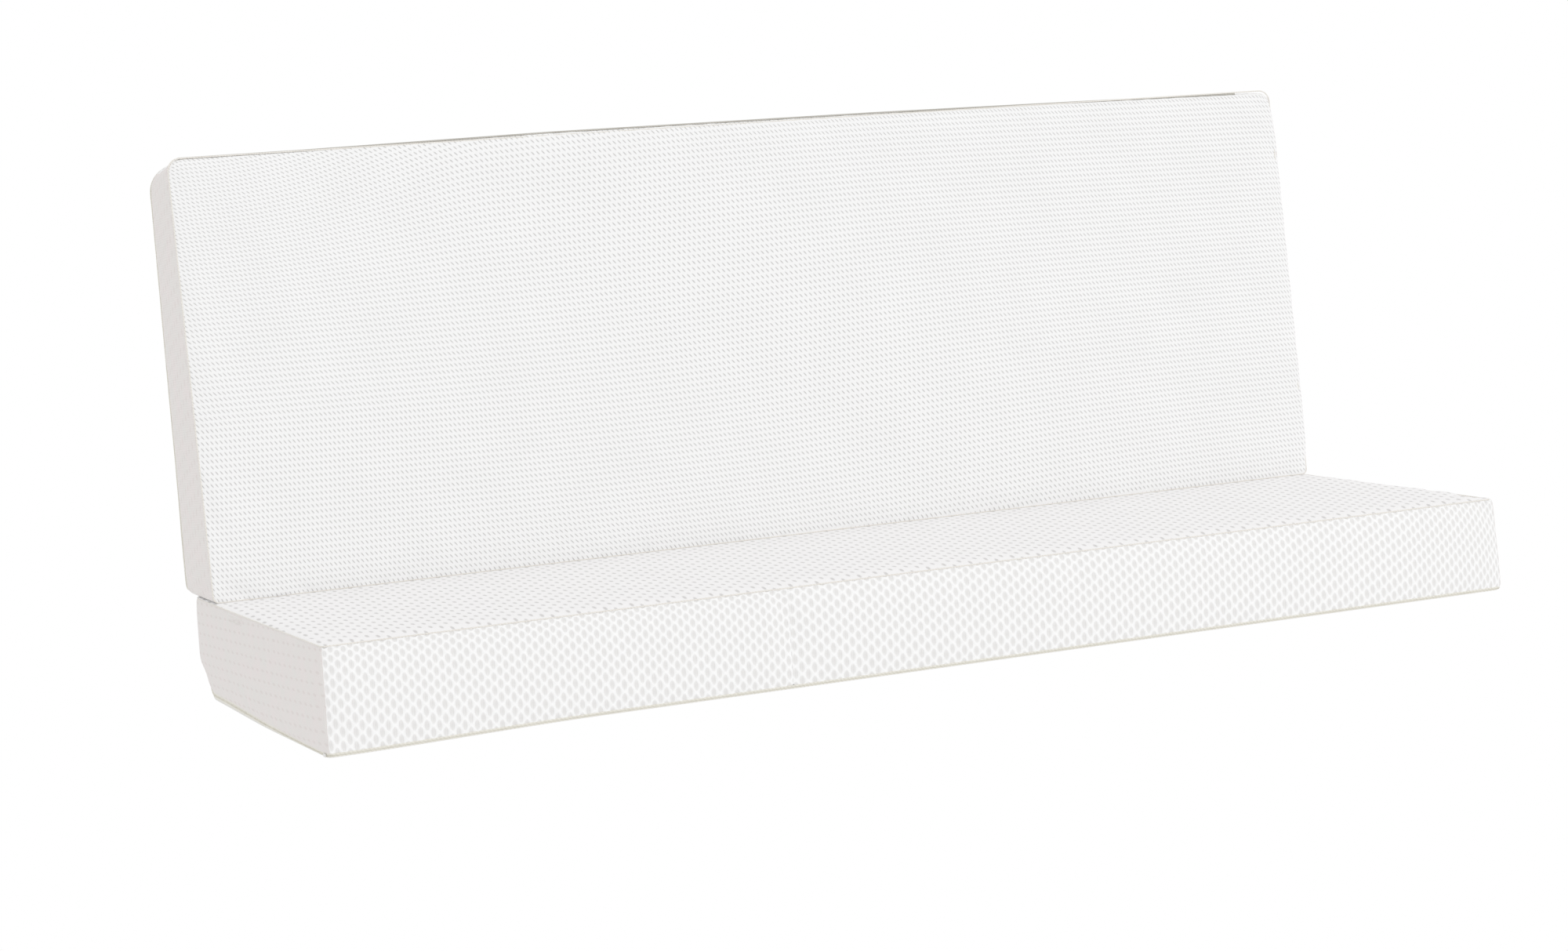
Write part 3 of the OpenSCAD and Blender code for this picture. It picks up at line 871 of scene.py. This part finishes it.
# %% [markdown]
# ## Seams and zip coils
# What runs round a slab is modelled as one short length and repeated along the slab's outline: an Array
# modifier copies it and a Curve modifier bends the row round the corners. The edge seam is a corded bead, and
# the zip coil is two rows of nylon loops, which show as small beads.
# %% Outline
def outline_curve(name, inset, front_r, rear_r, height, front_at=0.0):
    """The slab's outline as a closed curve: a plane with rounded corners, without its face."""
    bpy.ops.mesh.primitive_plane_add(size=2)
    plane = bpy.context.object
    plane.name = name
    co = points(plane)
    co[:, 0] *= end - inset
    co[:, 1] = np.where(co[:, 1] < 0, front_at + inset, depth - inset)
    co[:, 2] = height
    put_points(plane, co)
    bpy.ops.object.mode_set(mode="EDIT")
    for radius, rear in ((front_r, False), (rear_r, True)):
        pick(plane, "VERT", lambda v: (v.co.y > depth / 2) == rear)
        bpy.ops.mesh.bevel(offset=radius - inset, segments=10, affect="VERTICES")
    bpy.ops.mesh.select_all(action="SELECT")
    bpy.ops.mesh.delete(type="ONLY_FACE")
    bpy.ops.object.mode_set(mode="OBJECT")
    bpy.ops.object.convert(target="CURVE")
    curve = bpy.context.object
    curve.data.dimensions = "3D"
    curve.data.twist_mode = "Z_UP"
    return curve

def repeat_along(unit, curve, pitch, join=False):
    """Copies the unit along the closed curve at about this pitch, a whole number of times."""
    round_trip = sum(s.calc_length() for s in curve.data.splines)
    count = round(round_trip / pitch)
    repeat(unit, count, (round_trip / count, 0, 0), join)
    modify(unit, "bend", "CURVE", object=curve)
    bpy.data.objects.remove(curve)
    return count

# %% Edge seams
def edge_seam(name, front_r, rear_r, place, body, sink=0.0):
    pitch, radius = 4.2 * mm, 1.0 * mm
    bpy.ops.mesh.primitive_cylinder_add(vertices=8, radius=radius, depth=pitch, end_fill_type="NOTHING",
        location=(pitch / 2, 0, 0), rotation=(0, math.pi / 2, 0))
    cord = just_added(name + "_cord")
    bpy.ops.object.mode_set(mode="EDIT")
    pick(cord, "EDGE", along(0))
    bpy.ops.mesh.subdivide(number_cuts=2)
    pick(cord, "VERT", lambda v: 0.1 * pitch < v.co.x < 0.9 * pitch)
    bpy.ops.transform.resize(value=(1, 1.12, 1.12))
    pick(cord, "VERT", lambda v: not 0.1 * pitch < v.co.x < 0.9 * pitch)
    bpy.ops.transform.resize(value=(1, 0.88, 0.88))
    bpy.ops.object.mode_set(mode="OBJECT")
    curve = outline_curve("outline", 1.5 * mm, front_r, rear_r, thick - 1.5 * mm)
    count = repeat_along(cord, curve, pitch, join=True)
    bpy.ops.object.shade_smooth()
    co = points(cord)
    co[:, 1] -= sink * (1 - ease((co[:, 1] - 3 * mm) / 0.03))
    put_points(cord, co)
    cord.data.materials.append(seam_finish)
    seat_in_place(cord, place)
    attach(cord, body)
    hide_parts(name)
    print(name, count, "stitches")

edge_seam("seat_edge_seam", *seat_r, seat_place, "seat")
edge_seam("back_edge_seam", *back_high_r, back_place, "back", 1.2 * mm)

# %% Top bead
def top_bead(radius, pitch):
    """The seam allowance rolled up along the back's top edge, as one row of short corded lengths, dark beige as
    painted shade along that edge.
    """
    bpy.ops.mesh.primitive_cylinder_add(vertices=8, radius=radius, depth=pitch, rotation=(0, math.pi / 2, 0))
    bead = just_added("back_top_bead")
    left, right = -end + back_high_r[1], end - 65 * mm
    repeat(bead, round((right - left) / pitch), (pitch, 0, 0))
    co = points(bead) + np.array([left, depth + 0.4 * mm, thick - 3.2 * mm])
    co[:, 1] += mm * np.interp(co[:, 0], *top_line)
    put_points(bead, co)
    bpy.ops.object.shade_smooth_by_angle(angle=math.radians(50))
    bead.data.materials.append(top_edge_shade_finish)
    seat_in_place(bead, back_place)
    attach(bead, "back")

top_bead(1.5 * mm, 3.6 * mm)

# %% Zip coils
def zip_coil(name, front_r, rear_r, place, body, front_at=0.0):
    pitch = 3.0 * mm
    middle = (zip_low + zip_high) / 2
    bpy.ops.mesh.primitive_uv_sphere_add(segments=6, ring_count=4, radius=1, location=(0, 0, 0.85 * mm),
        rotation=(0, math.pi / 2, 0), scale=(0.75 * mm, 1.3 * mm, 1.05 * mm))
    loop = just_added(name + "_loops")
    bpy.ops.object.mode_set(mode="EDIT")
    bpy.ops.mesh.select_all(action="SELECT")
    bpy.ops.mesh.duplicate_move(TRANSFORM_OT_translate={"value": (pitch / 2, 0, -1.7 * mm)})
    bpy.ops.object.mode_set(mode="OBJECT")
    curve = outline_curve("outline", 1.0 * mm, front_r, rear_r, middle, front_at)
    count = repeat_along(loop, curve, pitch)
    bpy.ops.object.shade_smooth()
    co = points(loop)
    if body == "seat":
        hang(co, co[:, 2].copy(), co[:, 1])
        round_under(co, under_deep, under_high, under_reach)
    else:
        taper(co, co.copy())
    put_points(loop, co)
    loop.data.materials.append(coil_finish)
    seat_in_place(loop, place)
    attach(loop, body)
    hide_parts(name)
    print(name, count, "pairs of loops")

rear_foot = foot_rise + 1 * mm
zip_coil("seat_zip_coil", *seat_r, seat_place, "seat")
zip_coil("back_zip_coil", *back_low_r, back_place, "back", rear_foot)

# %% Zip tapes
for body, place in (("seat", seat_place), ("back", back_place)):
    tape = panels[body + "_zip_tapes"]
    modify(tape, "wall", "SOLIDIFY", thickness=1 * mm, offset=-1)
    bpy.ops.object.shade_smooth_by_angle(angle=math.radians(50))
    tape.data.materials.append(tape_finish)
    seat_in_place(tape, place)
    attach(tape, body)
    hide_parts(body + "_zip_tapes")
print("zip tapes ready")

# %% [markdown]
# ## Sliders and pull tabs
# The sliders and pulls have the right form in the CAD model, but their edges are knife sharp, and cast metal
# never is. A copy of each is merged, its flat faces are joined up again, and a small bevel rounds the edges.
# %% Sliders and pulls
for node in ("seat_zip_slider", "seat_zip_pull", "back_zip_slider", "back_zip_pull"):
    source = frame["nodes"][node]
    cast = source.copy()
    cast.data = source.data.copy()
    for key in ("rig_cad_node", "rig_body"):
        del cast[key]
    cast.parent = None
    bpy.context.scene.collection.objects.link(cast)
    cast.name = cast.data.name = node + "_cast"
    only(cast)
    bpy.ops.object.mode_set(mode="EDIT")
    bpy.ops.mesh.select_all(action="SELECT")
    bpy.ops.mesh.remove_doubles(threshold=0.01 * mm)
    bpy.ops.mesh.dissolve_limited(angle_limit=math.radians(1))
    bpy.ops.object.mode_set(mode="OBJECT")
    modify(cast, "edge", "BEVEL", width=0.2 * mm, segments=2, limit_method="ANGLE",
        angle_limit=math.radians(40))
    bpy.ops.object.shade_smooth_by_angle(angle=math.radians(35))
    cast.data.materials.clear()
    cast.data.materials.append(metal)
    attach(cast, node)
    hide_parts(node)
    print(node, len(cast.data.polygons), "faces")

# %% [markdown]
# ## Corner tab and tacking stitches
# A folded scrap of white tape covers the zip where it meets the front left corner, and a patch of slanting
# tacking stitches on the left end holds the foam's glue line closed.
# %% Corner tab
low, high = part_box("seat_zip_corner_tab")
bpy.ops.mesh.primitive_cube_add(size=1, location=(low + high) / 2, scale=high - low)
tab = just_added("seat_zip_corner_tab_fold")
bpy.ops.object.mode_set(mode="EDIT")
for axis, cuts in ((1, 9), (2, 8)):
    pick(tab, "EDGE", along(axis))
    bpy.ops.mesh.subdivide(number_cuts=cuts)
bpy.ops.object.mode_set(mode="OBJECT")
co = points(tab)
co[:, 0] -= 0.5 * mm * np.sin((co[:, 1] - low.y) / (high.y - low.y) * math.pi)
co[:, 2] += 0.3 * mm * np.sin((co[:, 1] - low.y) * 1900)
hang(co, co[:, 2].copy(), co[:, 1] - seat_front)
put_points(tab, co)
modify(tab, "soft", "SUBSURF", levels=1, render_levels=1)
bpy.ops.object.shade_smooth()
tab.data.materials.append(stitch_finish)
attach(tab, "seat")
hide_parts("seat_zip_corner_tab")

# %% Stitches
def stitch(name, length, radius, direction):
    """One short thread with rounded ends, lying along a direction."""
    bpy.ops.mesh.primitive_uv_sphere_add(segments=6, ring_count=5, radius=1)
    thread = bpy.context.object
    thread.name = thread.data.name = name
    co = points(thread)
    co *= (radius, radius, length / 2)
    turned = Vector((0, 0, 1)).rotation_difference(Vector(direction)).to_matrix()
    put_points(thread, co @ np.array(turned).T)
    bpy.ops.object.shade_smooth()
    return thread

low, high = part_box("seat_tacking_stitches")
tack = stitch("seat_tacking_stitches_thread", 4.6 * mm, 0.34 * mm, (0, 0.45, 1))
repeat(tack, 15, (0, (high.y - low.y - 4 * mm) / 14, 0))
repeat(tack, 2, (0, 0, -(high.z - low.z - 5 * mm)))
co = points(tack) + np.array([low.x + 0.1 * mm, low.y + 2 * mm, high.z - 2.6 * mm])
co[:, 0] -= 1.9 * mm
put_points(tack, co)
seat_in_place(tack, Matrix.Identity(4))
tack.data.materials.append(stitch_finish)
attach(tack, "seat")
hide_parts("seat_tacking_stitches")
print("tab and tacking ready")

# %% [markdown]
# ## The hinge strip
# One strip of twill joins the slabs. Its lower edge is sewn to the seat's rear border and its upper edge to
# the foot of the back's rear, and it folds at both hems when the back swings down. It is modelled as one
# cloth in three lengths that meet edge to edge: each hem is laid over its own fold as a fixed shape, and the
# middle is carried by the strip's own body.
# %% Strip path
pivot = {j["name"]: Vector(j["pos_m"]) for j in frame["joints"] if j["type"] == "hinge"}
lower_fold, upper_fold = pivot["strip_swing"], pivot["back_fold"]
hem_low, hem_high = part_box("seat_strip_hem")
half_strip = hem_high.x
hem_height = hem_high.z - hem_low.z
along_strip = (upper_fold - lower_fold).normalized()
grip = 7 * mm
hem_foot = back_place @ Vector((0, rear_foot, -0.5 * mm))
hem_top = back_place @ Vector((0, rear_foot + hem_height, -0.5 * mm))
lower_path = [Vector((0, hem_high.y - 0.5 * mm, hem_low.z)), Vector((0, hem_high.y - 0.5 * mm, hem_high.z)),
    lower_fold, lower_fold + along_strip * grip]
middle_path = [lower_fold + along_strip * grip, upper_fold - along_strip * grip]
upper_path = [upper_fold - along_strip * grip, upper_fold, hem_foot, hem_top]
print("strip from", round(lower_fold.z, 4), "to", round(upper_fold.z, 4))

# %% Strip cloth
def strip_length(name, path, steps):
    """A grid of cloth carried along the path, given its thickness and a slight wave."""
    places = []
    for a, b in zip(path, path[1:]):
        parts = max(2, round((b - a).length / steps))
        places += [a.lerp(b, i / parts) for i in range(parts)]
    places.append(path[-1])
    bpy.ops.mesh.primitive_grid_add(x_subdivisions=150, y_subdivisions=len(places) - 1, size=2)
    cloth = bpy.context.object
    cloth.name = cloth.data.name = name
    co = points(cloth)
    row = np.rint((co[:, 1] + 1) / 2 * (len(places) - 1)).astype(int)
    x = co[:, 0] * half_strip
    where = np.array([tuple(p) for p in places])[row]
    if name.startswith("hinge"):
        free = np.sin(row / (len(places) - 1) * math.pi)
        where[:, 1] += 0.35 * mm * free * np.sin(x * 21) * np.cos(x * 7.3)
    put_points(cloth, np.stack([x, where[:, 1], where[:, 2]], 1))
    modify(cloth, "wall", "SOLIDIFY", thickness=0.8 * mm, offset=0)
    bpy.ops.object.shade_smooth_by_angle(angle=math.radians(60))
    cloth.data.materials.append(strip_finish)
    length = sum((b - a).length for a, b in zip(path, path[1:]))
    return cloth, length

lower_strip, lower_long = strip_length("seat_strip_hem_cloth", lower_path, 5 * mm)
middle_strip, middle_long = strip_length("hinge_strip_cloth", middle_path, 6 * mm)
upper_strip, upper_long = strip_length("back_strip_hem_cloth", upper_path, 5 * mm)
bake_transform(lower_strip)
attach(middle_strip, "hinge_strip")
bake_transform(upper_strip)
for piece, node, long, held, rests in (
        (lower_strip, "seat_strip_hem", lower_long, "folded", "seat_rear_border_cloth"),
        (middle_strip, "hinge_strip", middle_long, "hung", "seat_rear_border_cloth"),
        (upper_strip, "back_strip_hem", upper_long, "folded", "back_rear_panel_cloth")):
    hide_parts(node)
    print(piece.name, "cut to", round(2 * half_strip, 3), round(long, 4))

# %% Hem stitching
def hem_stitches(name, rows, place, body):
    """Two straight rows of running stitches along a hem."""
    thread = stitch(name, 3.4 * mm, 0.32 * mm, (1, 0, 0))
    repeat(thread, int(2 * half_strip / (5 * mm)), (5 * mm, 0, 0))
    repeat(thread, 2, tuple(rows[1] - rows[0]))
    co = points(thread)
    co[:, 0] -= half_strip - 3 * mm
    co += np.array(tuple(rows[0]))
    put_points(thread, co)
    seat_in_place(thread, place)
    thread.data.materials.append(stitch_finish)
    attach(thread, body)

hem_stitches("seat_hem_stitches", [Vector((0, hem_high.y + 0.05 * mm, hem_low.z + 4 * mm)),
    Vector((0, hem_high.y + 0.05 * mm, hem_high.z - 4 * mm))], Matrix.Identity(4), "seat")
hem_stitches("back_hem_stitches", [Vector((0, rear_foot + 4 * mm, -1.05 * mm)),
    Vector((0, rear_foot + hem_height - 4 * mm, -1.05 * mm))], back_place, "back")
print("hinge strip ready")

# %% [markdown]
# ## Floor and light
# The mattress stands on a plain white floor that runs into a white surround. Soft light comes from all
# round. A broad sun at the front right gives the sleeping sides and the front a little more than the left
# ends get, and a small lamp brightens the right end of the front.
# %% Floor
bpy.ops.mesh.primitive_plane_add(size=60, location=(0, 0, -6 * mm))
floor = bpy.context.object
floor.name = "floor"
paint, tree, shader = new_material("white_floor_paint", Base_Color=linear("000000"), Roughness=1.0,
    Specular_IOR_Level=0.0, Emission_Color=(1, 1, 1, 1), Emission_Strength=1.0)
rays = add_node(tree, "ShaderNodeLightPath")
bounce = add_node(tree, "ShaderNodeEmission", {"Color": (1, 1, 1, 1), "Strength": 0.9})
seen = add_node(tree, "ShaderNodeMixShader", {0: rays.outputs["Is Camera Ray"], 1: bounce.outputs[0],
    2: shader.outputs[0]})
tree.links.new(seen.outputs[0], tree.nodes["Material Output"].inputs["Surface"])
floor.data.materials.append(paint)

# %% Light
world = bpy.data.worlds.new("studio")
bpy.context.scene.world = world
world.use_nodes = True
tree = world.node_tree
surround = tree.nodes["Background"]
surround.inputs["Color"].default_value = (1, 1, 1, 1)
surround.inputs["Strength"].default_value = 0.9
white = add_node(tree, "ShaderNodeBackground", {"Color": (1, 1, 1, 1), "Strength": 1.0})
rays = add_node(tree, "ShaderNodeLightPath")
seen = add_node(tree, "ShaderNodeMixShader", {0: rays.outputs["Is Camera Ray"], 1: surround.outputs[0],
    2: white.outputs[0]})
tree.links.new(seen.outputs[0], tree.nodes["World Output"].inputs["Surface"])
bpy.ops.object.light_add(type="SUN", location=(3.5, -8.0, 4.8))
lamp = bpy.context.object
lamp.data.angle = math.radians(50)
lamp.data.energy = 0.385
lamp.rotation_mode = "QUATERNION"
lamp.rotation_quaternion = (-lamp.location).to_track_quat("-Z", "Y")
bpy.ops.object.light_add(type="AREA", location=(2.2, -2.2, 0.5))
side_lamp = bpy.context.object
side_lamp.data.size = 0.8
side_lamp.data.energy = 2.0
side_lamp.rotation_mode = "QUATERNION"
side_lamp.rotation_quaternion = (Vector((0.9, -0.3, 0.1)) - side_lamp.location).to_track_quat("-Z", "Y")
bpy.context.scene.view_settings.view_transform = "Standard"
print("floor and light ready")
